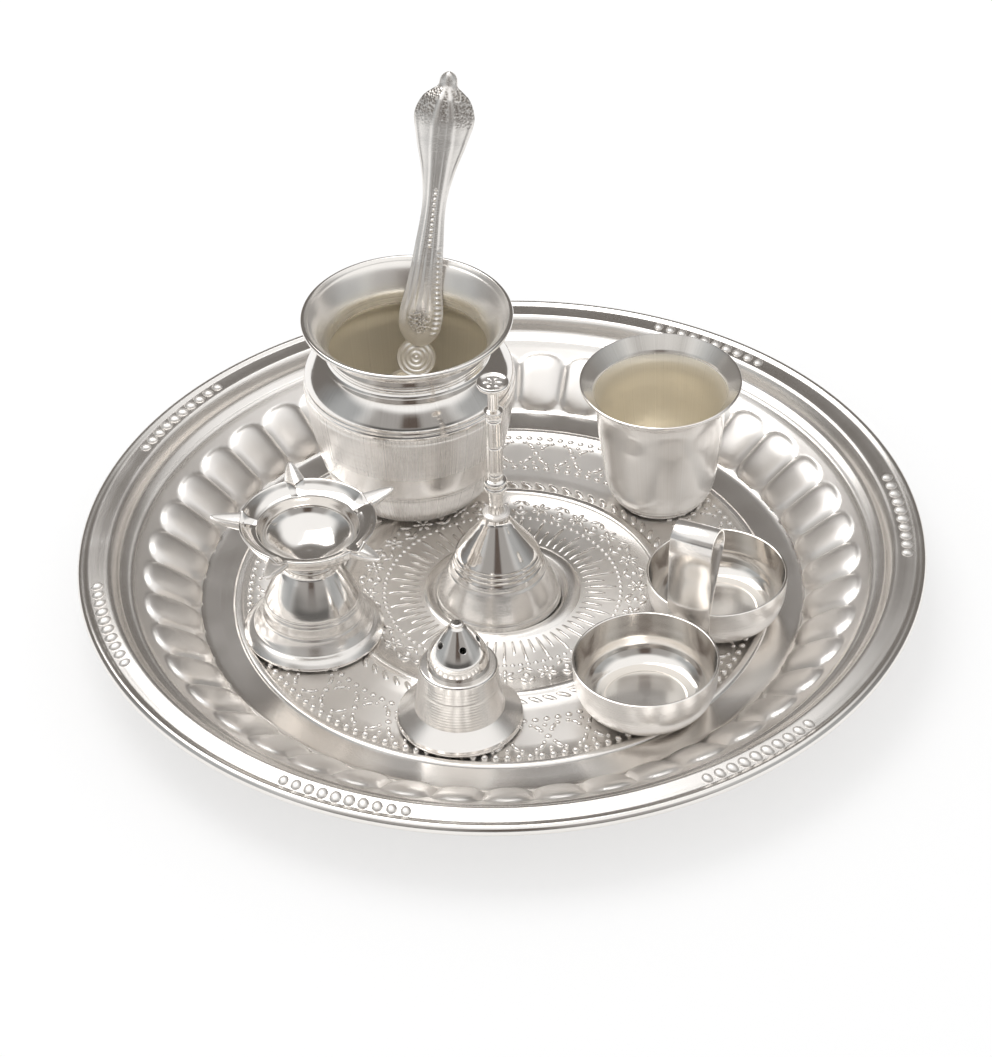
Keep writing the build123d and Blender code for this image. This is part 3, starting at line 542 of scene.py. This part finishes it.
# Tumbler: turned and drawn in one piece, with a stepped foot and a flat conical lip.
# Its wall is satin with upright strokes, its inside a warmer satin.
cup_at, cup_base = standing("tumbler")
cup_side = [(16.4, 1.4), (18.2, 3.0), (19.8, 7.4), (21.3, 18.4), (22.9, 31.7), (23.9, 43.0), (25.1, 46.0)]
cup_in = inner(cup_side, 1.0)
cup_in[0] = (16.4, 2.4)
tumbler = lathe("tumbler_turned", line_of(
    run([(0, 0), (15.8, 0)], 0.4, step=5),
    run([(15.8, 0), (15.8, 1.4)], 0.7, step=0.5),
    run([(15.8, 1.4), cup_side[0]], 0.7),
    scored(run(cup_side, 0.55, step=0.4), (4.2,), 0.2, 0.4),
    run([cup_side[-1], (29.3, 50.5)], 0.6, step=0.8),
    run([(29.3, 50.5), (29.25, 51.0), (28.7, 51.2)], 0.95, step=0.2),
    run([(28.7, 51.2), tuple(cup_in[-1])], 0.85, 0.15, step=0.8),
    run(cup_in[::-1], 0.3, 1.0, step=1.0),
    run([tuple(cup_in[0]), (0, 2.4)], 0.3, 1.0, step=5),
), cup_at, cup_base, 128)
tumbler.data.materials.append(silver("tumbler_plating", cup_at, satin=0.34, polished=0.1, lines=1300, bite=0.01,
                                     brushed=0.65, haze=0.85, strokes=1.5))
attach(tumbler, "tumbler")
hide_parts("tumbler")


# Bell dome: cast brass turned thin, with five scored lines and a flaring skirt.
# Its crown is polished and its skirt keeps fine turning lines.
bell_at, bell_base = standing("bell_dome")
bell_out = [(22.4, 0), (21.6, 2.5), (18.6, 9.5), (16.1, 15.1), (14.7, 19.4), (11.9, 23.6), (9.0, 27.5),
            (6.4, 31.3), (4.9, 34.0), (4.6, 35.2)]
bell_in = inner(bell_out, 1.3)[:-2]
bell_in[0] = (21.1, 0)
bell_run = scored(run(bell_out, step=0.25), (2.0, 12.6, 15.4, 17.2, 19.0), 0.26, 0.32)
bell_run[:, 2] = np.where(bell_run[:, 1] > 14.5, 0.88, 0.4)
bell = lathe("bell_dome_turned", line_of(
    run([(21.1, 0), (22.4, 0)], 0.7),
    bell_run,
    run([(4.6, 35.2), (1.72, 35.2)], 0.6),
    run([(1.72, 35.2), (1.72, 33.9)], 0.4),
    run([(1.72, 33.9), (4.0, 33.9)], 0.4),
    run([(4.0, 33.9), tuple(bell_in[-1])], 0.4),
    run(bell_in[::-1], 0.4, 0.6, step=1.2),
)[:-1], bell_at, bell_base, 128)
bell_silver = silver("bell_plating", bell_at, satin=0.26, polished=0.07, lines=1600, bite=0.02, brushed=0.45)
bell.data.materials.append(bell_silver)
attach(bell, "bell")
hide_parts("bell_dome")


# Bell handle: turned rod with a waist, a double knop, a plain grip and a thin stem.
# Its lower stud passes through the collar and the crown of the dome into the eye nut.
handle_line = line_of(
    run([(0, 31.9), (1.6, 31.9)], 0.5),
    run([(1.6, 31.9), (1.6, 37.0)], 0.5, step=2),
    run([(1.6, 37.0), (2.9, 37.0)], 0.8),
    run([(2.9, 37), (2.5, 39.6), (2.6, 43), (2.9, 46.4)], 0.85, step=0.4),
    run([(2.9, 46.4), (3.9, 46.9), (4.2, 47.9), (3.9, 48.6), (3.2, 49.0)], 0.9, step=0.25),
    run([(3.2, 49.0), (3.9, 49.4), (4.2, 50.2), (3.9, 51.0), (2.9, 51.6)], 0.9, step=0.25),
    scored(run([(2.9, 51.6), (2.9, 80.0)], 0.7, step=0.3), (54.0, 55.0, 66.0, 77.4, 78.4), 0.22, 0.3),
    run([(2.9, 80.0), (3.4, 80.7), (2.6, 81.3), (1.92, 81.6)], 0.9, step=0.2),
    run([(1.92, 81.6), (1.92, 91)], 0.8, step=1),
    run([(1.92, 91), (1.1, 91)], 0.8),
    run([(1.1, 91), (1.1, 92.6)], 0.8),
    run([(1.1, 92.6), (0, 92.6)], 0.8),
)
bell_handle = lathe("bell_handle_turned", handle_line, bell_at, bell_base, 56)
bell_handle.data.materials.append(bell_silver)
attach(bell_handle, "bell")
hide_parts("bell_handle")


# Bell finial: small cast disc with a raised rim, pushed on the stem's tenon.
# Its face has a plain six-petal flower.
finial_line = line_of(
    run([(0, 92.7), (1.22, 92.7)], 0.5),
    run([(1.22, 92.7), (1.22, 91)], 0.5),
    run([(1.22, 91), (4.3, 91)], 0.8),
    run([(4.3, 91), (5.3, 91.25), (5.7, 91.9), (5.65, 92.8), (5.3, 93.2), (4.8, 93.1), (4.5, 92.9)], 0.9,
        step=0.25),
    run([(4.5, 92.9), (0, 92.9)], 0.5, step=1.5),
)
finial = lathe("bell_finial_disc", finial_line, bell_at, bell_base, 56)
finial.data.materials.append(bell_silver)
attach(finial, "bell")
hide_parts("bell_finial")
flower_z = bell_base + 92.9
petals = [(2.3, 60 * k, flower_z, 0) for k in range(6)]
seeds = [(1.0, 120 * k, flower_z, 0) for k in range(3)]
flower_bits = [
    pressed(pillow(1.25, 0.8, 12), petals, 0.3, 3, sunk=0.1, at=bell_at),
    pressed(pillow(0.45, 0.45, 10), seeds, 0.25, 2, sunk=0.1, at=bell_at),
]
flower_points, flower_faces = together(flower_bits)
flower = skin("finial_flower", flower_points, flower_faces, polish=0.8)
flower.data.materials.append(bell_silver)
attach(flower, "bell")


# Bell collar, eye nut and clapper: small turned fittings inside and on top of the dome.
# They keep their solids' own forms; the rod is bare iron wire.
iron = silver("clapper_iron", bell_at, satin=0.45, polished=0.3, lines=1200, bite=0.02,
              tone=(0.42, 0.40, 0.38))
for node in ("bell_collar", "bell_eye_nut", "bell_clapper_ball"):
    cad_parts[node].data.materials.clear()
    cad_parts[node].data.materials.append(bell_silver)
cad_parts["bell_clapper_rod"].data.materials.clear()
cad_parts["bell_clapper_rod"].data.materials.append(iron)


# Lamp pedestal: spun hollow foot with a rolled edge and four scored lines, under a flat top.
# A stud with a round head joins it to the cup.
lamp_at, lamp_base = standing("diya_pedestal")
foot = [(24.6, 1.6), (23.4, 2.7), (20.4, 4.8), (18.3, 8.4), (17.7, 10.5), (17.1, 14), (15.6, 18), (13.4, 22.6),
        (11.1, 27), (9.7, 29.5), (9.6, 31)]
foot_in = np.append(inner(foot, 1.5)[1:-2], [(8.4, 29.5)], axis=0)
foot_run = scored(run(foot, step=0.3), (4.0, 9.2, 13.8, 15.0), 0.3, 0.4)
foot_run[:, 2] = np.interp(foot_run[:, 1], (2, 3, 15, 17), (0.9, 0.5, 0.5, 0.85))
pedestal = lathe("lamp_pedestal_spun", line_of(
    run([(foot_in[0, 0], 0), (23.8, 0)], 0.6),
    run([(23.8, 0), (24.4, 0.3), (24.6, 0.8), (24.6, 1.6)], 0.9, step=0.3),
    foot_run,
    run([(9.6, 31), (2.02, 31)], 0.5, step=3),
    run([(2.02, 31), (2.02, 29.5)], 0.5),
    run([(2.02, 29.5), (8.4, 29.5)], 0.5, step=3),
    run(foot_in[::-1], 0.4, 0.4, step=1.2),
    run([tuple(foot_in[0]), (foot_in[0, 0], 0)], 0.4),
)[:-1], lamp_at, lamp_base, 128)
lamp_silver = silver("lamp_plating", lamp_at, satin=0.3, polished=0.1, lines=1500, bite=0.015, brushed=0.4)
pedestal.data.materials.append(lamp_silver)
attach(pedestal, "diya")
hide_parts("diya_pedestal")
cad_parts["diya_stud"].data.materials.clear()
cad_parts["diya_stud"].data.materials.append(lamp_silver)


# Lamp cup: cast bowl with five beaks that each hold a wick, turned and polished.
# The rim slopes in to the round oil well and runs out along every beak to a point.
beaks, beak_first, beak_root, beak_tip = 5, 30.0, 22.3, 34.0
lamp_cup_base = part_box("diya_bowl")[0].z * 1000
cup_h = 17.6
well_out = [(9.1, 1.4), (9.4, 2.6), (13.4, 5.3), (19.0, 9.7), (22.3, 13.7), (23.8, 16.7)]
well_in = [(17.6, 13.4), (16.4, 9.7), (12.7, 6.5), (6.7, 3.9), (0, 3.4)]


def notched(turn, rows):
    """Rim pressed down where a beak leaves it: near a beak's angle the height above the notch shrinks."""
    apart = 360 / beaks
    off = (np.degrees(turn) - beak_first + apart / 2) % apart - apart / 2
    dip = np.clip(1 - abs(off) / 8.0, 0, 1)
    over = np.clip(rows[:, 1:2] - 14.0, 0, None) * (rows[:, :1] > 17.8)
    return 0.0, -0.6 * dip * over


lamp_cup = lathe("lamp_cup_turned", line_of(
    run([(0, 0), (9.2, 0)], 0.6, step=3),
    run([(9.2, 0), (9.6, 0.7), (9.1, 1.4)], 0.9, step=0.3),
    run(well_out, 0.9, step=0.5),
    run([(23.8, 16.7), (24.0, 17.3), (23.85, 17.6), (23.3, 17.6), (22.8, 17.2)], 0.95, step=0.2),
    run([(22.8, 17.2), (21.7, 16.1), (20.4, 15.2), (19.3, 14.75), (18.5, 14.6)], 0.95, step=0.3),
    run([(18.5, 14.6), (18.0, 14.5), well_in[0]], 0.95, step=0.3),
    run(well_in, 0.95, step=0.7),
), lamp_at, lamp_cup_base, 360, notched)


def beak(turn):
    """One beak, a round trough: from root to tip its half width and depth shrink as powers of what is left, its
    section is a half ellipse, its brim lifts a little, and a shallow inner trough closes it."""
    s = 1 - np.linspace(1, 0, 24)[:, None] ** 1.4
    q = np.linspace(-1, 1, 23)[None, :]
    out = beak_root + (beak_tip - beak_root) * s
    half, deep, brim = 3.5 * (1 - s) ** 0.6 + 0.5, 4.2 * (1 - s) ** 0.5 + 0.6, cup_h - 0.35 + 0.5 * s**2
    bow = np.sqrt(1 - 0.985 * q**2)
    hull = np.stack([out + 0 * q, half * q, brim - deep * bow], -1)
    bed = brim - (deep - 0.5) * 0.45 * bow**1.6
    trough = np.stack([out - 0.25 * s + 0 * q, (half - 0.32) * q, bed], -1)[:, ::-1]
    points = np.concatenate([hull, trough], 1)
    loop = points.shape[1]
    x, y, z = points.reshape(-1, 3).T
    a = math.radians(turn)
    points = np.column_stack([lamp_at[0] + x * math.cos(a) - y * math.sin(a),
                              lamp_at[1] + x * math.sin(a) + y * math.cos(a), lamp_cup_base + z])
    ends = [np.arange(loop)[None, ::-1], (len(points) - loop + np.arange(loop))[None, :]]
    return points, [lattice(len(s), loop, 0)] + ends


beak_points, beak_faces = together([beak(beak_first + 360 / beaks * k) for k in range(beaks)])
lamp_beaks = skin("lamp_beaks", beak_points, beak_faces, polish=0.3)
lamp_beaks.data.materials.append(lamp_silver)
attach(lamp_beaks, "diya")
lamp_cup.data.materials.append(lamp_silver)
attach(lamp_cup, "diya")
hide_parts("diya_bowl")


# Incense stand: turned from one piece, a sloping foot, a tapering body with a shelf, and a drilled cone.
# One hole in its tip and five slanting holes round the cone each take a stick.
stand_at, stand_base = standing("incense_stand")
stand_body = [(15.6, 6.2), (14.65, 12.2), (13.95, 18.1), (13.6, 23.1)]
cone = [(10.8, 24.1), (10.6, 27.0), (9.95, 29.6), (8.3, 33.0), (6.0, 36.5), (3.2, 40.3)]
hollow_line = [(1.4, 35.0), (4.9, 32.3), (7.2, 27.7), (8.6, 23.5), (10.6, 19.7), (11.55, 15.1), (12.5, 10.1),
               (14.1, 4.8), (19.9, 0)]
body_lines = (7.6, 8.7, 9.8, 10.9, 12.0, 13.1, 14.2, 15.3, 16.6, 18.0, 19.2, 20.4)
stand = lathe("incense_stand_turned", line_of(
    run([(19.9, 0), (21.5, 0)], 0.6),
    run([(21.5, 0), (21.8, 1.0), (21.5, 2.4)], 0.9, step=0.3),
    run([(21.5, 2.4), stand_body[0]], 0.6, step=0.8),
    scored(scored(run(stand_body, 0.45, step=0.2), body_lines, 0.022, 0.3), (16.3,), 0.08, 0.25),
    run([stand_body[-1], (13.5, 23.6), (13.1, 24.0)], 0.9, step=0.2),
    run([(13.1, 24.0), cone[0]], 0.75, step=0.5),
    run(cone, 0.93, step=0.4),
    run([cone[-1], (2.3, 41.0)], 0.9, step=0.3),
    run([(2.3, 41.0), (2.3, 41.8), (2.0, 42.0)], 0.9, step=0.2),
    run([(2.0, 42.0), (1.4, 42.0)], 0.8),
    run([(1.4, 42.0), hollow_line[0]], 0.2, step=2),
    run(hollow_line, 0.3, step=1.2),
)[:-1], stand_at, stand_base, 112)


def drilled(piece, tools):
    """Piece with the tools' volumes cut away, its marks kept, and the tools thrown out."""
    for tool in tools:
        cut = piece.modifiers.new("hole", "BOOLEAN")
        cut.object, cut.operation, cut.solver = tool, "DIFFERENCE", "EXACT"
    seen = piece.evaluated_get(bpy.context.evaluated_depsgraph_get())
    mesh = bpy.data.meshes.new_from_object(seen)
    piece.modifiers.clear()
    piece.data = mesh
    for tool in tools:
        bpy.data.objects.remove(tool)


holes, hole_r, hole_from, hole_to = 5, 1.25, 4, 14
hole_line = line_of(
    run([(0, hole_from), (hole_r, hole_from)], 0.1, 1.0),
    run([(hole_r, hole_from), (hole_r, hole_to)], 0.1, 1.0, step=5),
    run([(hole_r, hole_to), (0, hole_to)], 0.1, 1.0),
)
hole_tip, hole_first, hole_z = math.radians(49), -75, stand_base + 29.0
drills = []
for k in range(holes):
    drill = lathe("drill", hole_line, (0, 0), 0, 20)
    turn = math.radians(hole_first + 360 / holes * k)
    tip = np.array([[math.cos(hole_tip), 0, math.sin(hole_tip)], [0, 1, 0],
                    [-math.sin(hole_tip), 0, math.cos(hole_tip)]])
    spin = np.array([[math.cos(turn), -math.sin(turn), 0], [math.sin(turn), math.cos(turn), 0], [0, 0, 1]])
    flat = np.empty(len(drill.data.vertices) * 3)
    drill.data.vertices.foreach_get("co", flat)
    points = flat.reshape(-1, 3) @ (spin @ tip).T + np.array([*stand_at, hole_z]) / 1000
    drill.data.vertices.foreach_set("co", points.reshape(-1))
    drills.append(drill)
drilled(stand, drills)
stand_silver = silver("incense_plating", stand_at, satin=0.34, polished=0.08, lines=1600, bite=0.012,
                      brushed=0.5)
stand.data.materials.append(stand_silver)
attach(stand, "incense_holder")
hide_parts("incense_stand")


# Small bowls: two pressed cups with a rounded corner, satin outside and polished inside.
# A low step runs round the floor where the foot is pressed.
def small_bowl(name, node, rim_r, height):
    """Turned profile of one bowl in shares of its rim radius and height, with a stepped floor disc."""
    at, base = standing(node)
    shares = ((0.6, 0), (0.74, 0.035), (0.88, 0.18), (0.96, 0.43), (0.99, 0.75), (1, 1))
    wall = [(rim_r * a, height * b) for a, b in shares]
    wall_in = inner(wall, 0.9)
    wall_in[0] = (wall[0][0], 0.9)
    wall_in[-1] = (rim_r - 0.9, height)
    bowl = lathe(name, line_of(
        run([(0, 0), wall[0]], 0.4, step=4),
        run(wall, 0.2, step=0.5),
        run([wall[-1], (rim_r - 0.2, height + 0.1), (rim_r - 0.7, height + 0.1), tuple(wall_in[-1])], 0.98,
            step=0.2),
        run(wall_in[::-1], 0.95, 0.1, step=0.5),
        run([tuple(wall_in[0]), (14.4, 0.9)], 0.85, 0.1),
        run([(14.4, 0.9), (13.9, 1.25), (13.4, 1.3)], 0.9, 0.1, step=0.2),
        run([(13.4, 1.3), (0, 1.3)], 0.75, 0.1, step=4),
    ), at, base, 128)
    bowl.data.materials.append(silver(name + "_plating", at, satin=0.34, polished=0.1, lines=1100, bite=0.01,
                                      brushed=0.35, haze=0.3))
    return bowl


plain_bowl = small_bowl("plain_bowl_pressed", "plain_bowl", 25.3, 18.6)
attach(plain_bowl, "plain_cup")
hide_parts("plain_bowl")
handled_bowl = small_bowl("handled_bowl_pressed", "handled_bowl", 24.8, 17.5)
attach(handled_bowl, "handled_cup")
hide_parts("handled_bowl")


# Strip handle: a flat band soldered up the wall of the second bowl, leaned in and bent over.
# Its free end comes back down to the outside of the rim.
strip_at, strip_base = standing("handled_bowl")
strip_way = math.radians(-116)
strip_bends = [(25.25, 8), (25.25, 14), (25.25, 17.5), (19.25, 31.7), (13.25, 45.9), (14.1, 48.5), (16, 50),
               (18.75, 50.5), (21.5, 49.8), (23.4, 48.3), (24.25, 45.9), (25.2, 32.3), (26.15, 18.7)]
strip_path = run(strip_bends, step=0.6)[:, :2]
strip_left, strip_right = inner(strip_path, 0.4), inner(strip_path, -0.4)
band = np.array([(-1, 0.85), (-0.985, 1), (0.985, 1), (1, 0.85), (1, -0.85), (0.985, -1), (-0.985, -1),
                 (-1, -0.85)])
share = (band[None, :, 1:] + 1) / 2
ring_rz = strip_right[:, None] + (strip_left - strip_right)[:, None] * share
strip_half = 7.75
across = strip_half * band[None, :, 0] + 0 * ring_rz[:, :, 0]
out = ring_rz[:, :, 0]
strip_points = np.stack([strip_at[0] + out * math.cos(strip_way) - across * math.sin(strip_way),
                         strip_at[1] + out * math.sin(strip_way) + across * math.cos(strip_way),
                         strip_base + ring_rz[:, :, 1]], -1).reshape(-1, 3)
strip_faces = [lattice(len(strip_path), len(band), 0), np.arange(len(band))[None, ::-1],
               (len(strip_points) - len(band) + np.arange(len(band)))[None, :]]
strip = skin("strip_handle_band", strip_points, strip_faces, polish=0.7)
strip.data.materials.append(silver("strip_plating", strip_at, satin=0.36, polished=0.12, lines=900, bite=0.01))
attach(strip, "handled_cup")
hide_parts("strip_handle")


# Studio: white sweep, a soft box overhead and a dim room that only the plating sees.
# The world is white to the eye and in reflections, and a little lower as light.
def dome(name, patches):
    """Sphere round the table that glows white, multiplied down to each patch's colour inside a window whose
    edges in azimuth and elevation fall off smoothly; only reflections see it. A patch is its azimuth,
    elevation, half width and half height in degrees, its colour, and the share that its soft edge takes up."""
    rows, around = 67, 181
    e, a = np.meshgrid(np.linspace(-9, 90, rows), np.linspace(-180, 180, around), indexing="ij")
    up, turn = np.radians(e), np.radians(a)
    ball = np.stack([np.cos(up) * np.cos(turn), np.cos(up) * np.sin(turn), np.sin(up)], -1)
    points = 2600 * ball.reshape(-1, 3)
    glow = np.ones((*a.shape, 3))
    for azimuth, elevation, half_wide, half_high, colour, soft in patches:
        off = abs((a - azimuth + 180) % 360 - 180) / half_wide, abs(e - elevation) / half_high
        fall = [np.clip((1 - w) / soft, 0, 1) for w in off]
        window = np.prod([f * f * (3 - 2 * f) for f in fall], axis=0)
        glow *= 1 - window[..., None] * (1 - np.array(colour))
    n = np.arange(rows - 1)[:, None] * around + np.arange(around - 1)[None, :]
    quads = np.stack([n, n + 1, n + around + 1, n + around], -1).reshape(-1, 4)
    sheet = skin(name, points, [quads])
    tint = np.concatenate([glow.reshape(-1, 3), np.ones((len(points), 1))], 1)
    room_tint = sheet.data.attributes.new("room", "FLOAT_COLOR", "POINT")
    room_tint.data.foreach_set("color", tint.reshape(-1).astype(np.float32))
    material = bpy.data.materials.new(name)
    material.use_nodes = True
    shader = material.node_tree.nodes["Principled BSDF"]
    room = Wire(material.node_tree).add("ShaderNodeAttribute", {"attribute_name": "room"}, out="Color")
    shader.inputs["Base Color"].default_value = (0, 0, 0, 1)
    shader.inputs["Specular IOR Level"].default_value = 0.0
    shader.inputs["Emission Strength"].default_value = 1.0
    material.node_tree.links.new(room.socket, shader.inputs["Emission Color"])
    sheet.data.materials.append(material)
    sheet.visible_camera = sheet.visible_diffuse = sheet.visible_shadow = False


def looked_at(tree):
    """One where the ray comes from the eye, a reflection or through glass, nought for light on its way."""
    rays = tree.add("ShaderNodeLightPath").socket.node.outputs
    kinds = ("Is Camera Ray", "Is Glossy Ray", "Is Transmission Ray")
    seen, glossy, through = [Wire(tree.tree, rays[key]) for key in kinds]
    return tree.maths("MAXIMUM", tree.maths("MAXIMUM", seen, glossy), through)


floor_mesh = bpy.data.meshes.new("floor")
sweep_half, sweep_z = 6, -0.0003
corners = [(x * sweep_half, y * sweep_half, sweep_z) for x, y in ((-1, -1), (1, -1), (1, 1), (-1, 1))]
floor_mesh.from_pydata(corners, [], [(0, 1, 2, 3)])
floor = bpy.data.objects.new("floor", floor_mesh)
bpy.context.scene.collection.objects.link(floor)
floor_white = bpy.data.materials.new("floor_white")
floor_white.use_nodes = True
sweep = Wire(floor_white.node_tree)
matt = sweep.add("ShaderNodeBsdfDiffuse", None, {"Color": (0.94, 0.94, 0.94, 1)})
glow = sweep.add("ShaderNodeEmission", None, {"Color": (1, 1, 1, 1), "Strength": 1.02})
blend = sweep.add("ShaderNodeMixShader", None, {0: looked_at(sweep) * 0.5, 1: matt, 2: glow})
sweep.tree.links.new(blend.socket, sweep.tree.nodes["Material Output"].inputs["Surface"])
floor_mesh.materials.append(floor_white)
dome("room_dome", [
    (90, 21, 100, 33, (0.16, 0.148, 0.137), 0.4),
    (-90, 22, 62, 37, (0.36, 0.35, 0.34), 0.35),
    (-90, 3, 75, 14, (0.25, 0.25, 0.25), 0.6),
    (-90, 33, 14, 22, (0.25, 0.19, 0.16), 0.5),
    (188, 22, 40, 34, (0.4, 0.415, 0.425), 0.6),
    (-8, 22, 40, 34, (0.4, 0.41, 0.415), 0.6),
])
lamp = bpy.data.lights.new("soft_box", "AREA")
lamp.shape, lamp.size, lamp.size_y, lamp.energy = "RECTANGLE", 1.3, 1.3, 11.0
soft_box = bpy.data.objects.new("soft_box", lamp)
box_left, box_back, box_up, box_far = 0.55, 0.75, 1.75, 1.9
soft_box.location = (-box_left, box_back, box_up)
soft_box.rotation_euler = (-math.atan2(box_back, box_up), -math.atan2(box_left, box_far), 0)
bpy.context.scene.collection.objects.link(soft_box)
world = bpy.data.worlds.new("studio")
bpy.context.scene.world = world
world.use_nodes = True
sky = Wire(world.node_tree)
ambient = sky.add("ShaderNodeBackground", None, {"Color": (1, 1, 1, 1), "Strength": 0.86})
white = sky.add("ShaderNodeBackground", None, {"Color": (1, 1, 1, 1), "Strength": 1.0})
both = sky.add("ShaderNodeMixShader", None, {0: looked_at(sky), 1: ambient, 2: white})
world.node_tree.links.new(both.socket, world.node_tree.nodes["World Output"].inputs["Surface"])

# Camera: long lens from the front, 38 degrees above the table and a little rolled.
# Its focal length is in pixels of the 992 by 1057 frame, whose tall side takes the 36 mm sensor.
focal, frame_tall = 4000.0, 1057.0
lift, roll, away = math.radians(38.27), math.radians(-1.60), 1.46014
look_at = np.array([-0.00172, 0.03796, -0.0007])
back_way = np.array([0, -math.cos(lift), math.sin(lift)])
right = np.array([1.0, 0, 0])
up = np.cross(back_way, right)
lens_right = math.cos(roll) * right + math.sin(roll) * up
lens_up = math.cos(roll) * up - math.sin(roll) * right
eye = look_at + away * back_way
view = bpy.data.cameras.new("camera")
view.sensor_width, view.lens = 36.0, 36.0 * focal / frame_tall
view.clip_start = 0.05
camera = bpy.data.objects.new("camera", view)
turned = np.eye(4)
turned[:3, 0], turned[:3, 1], turned[:3, 2], turned[:3, 3] = lens_right, lens_up, back_way, eye
camera.matrix_world = Matrix(turned)
bpy.context.scene.collection.objects.link(camera)
bpy.context.scene.camera = camera
bpy.context.scene.view_settings.view_transform = "Standard"
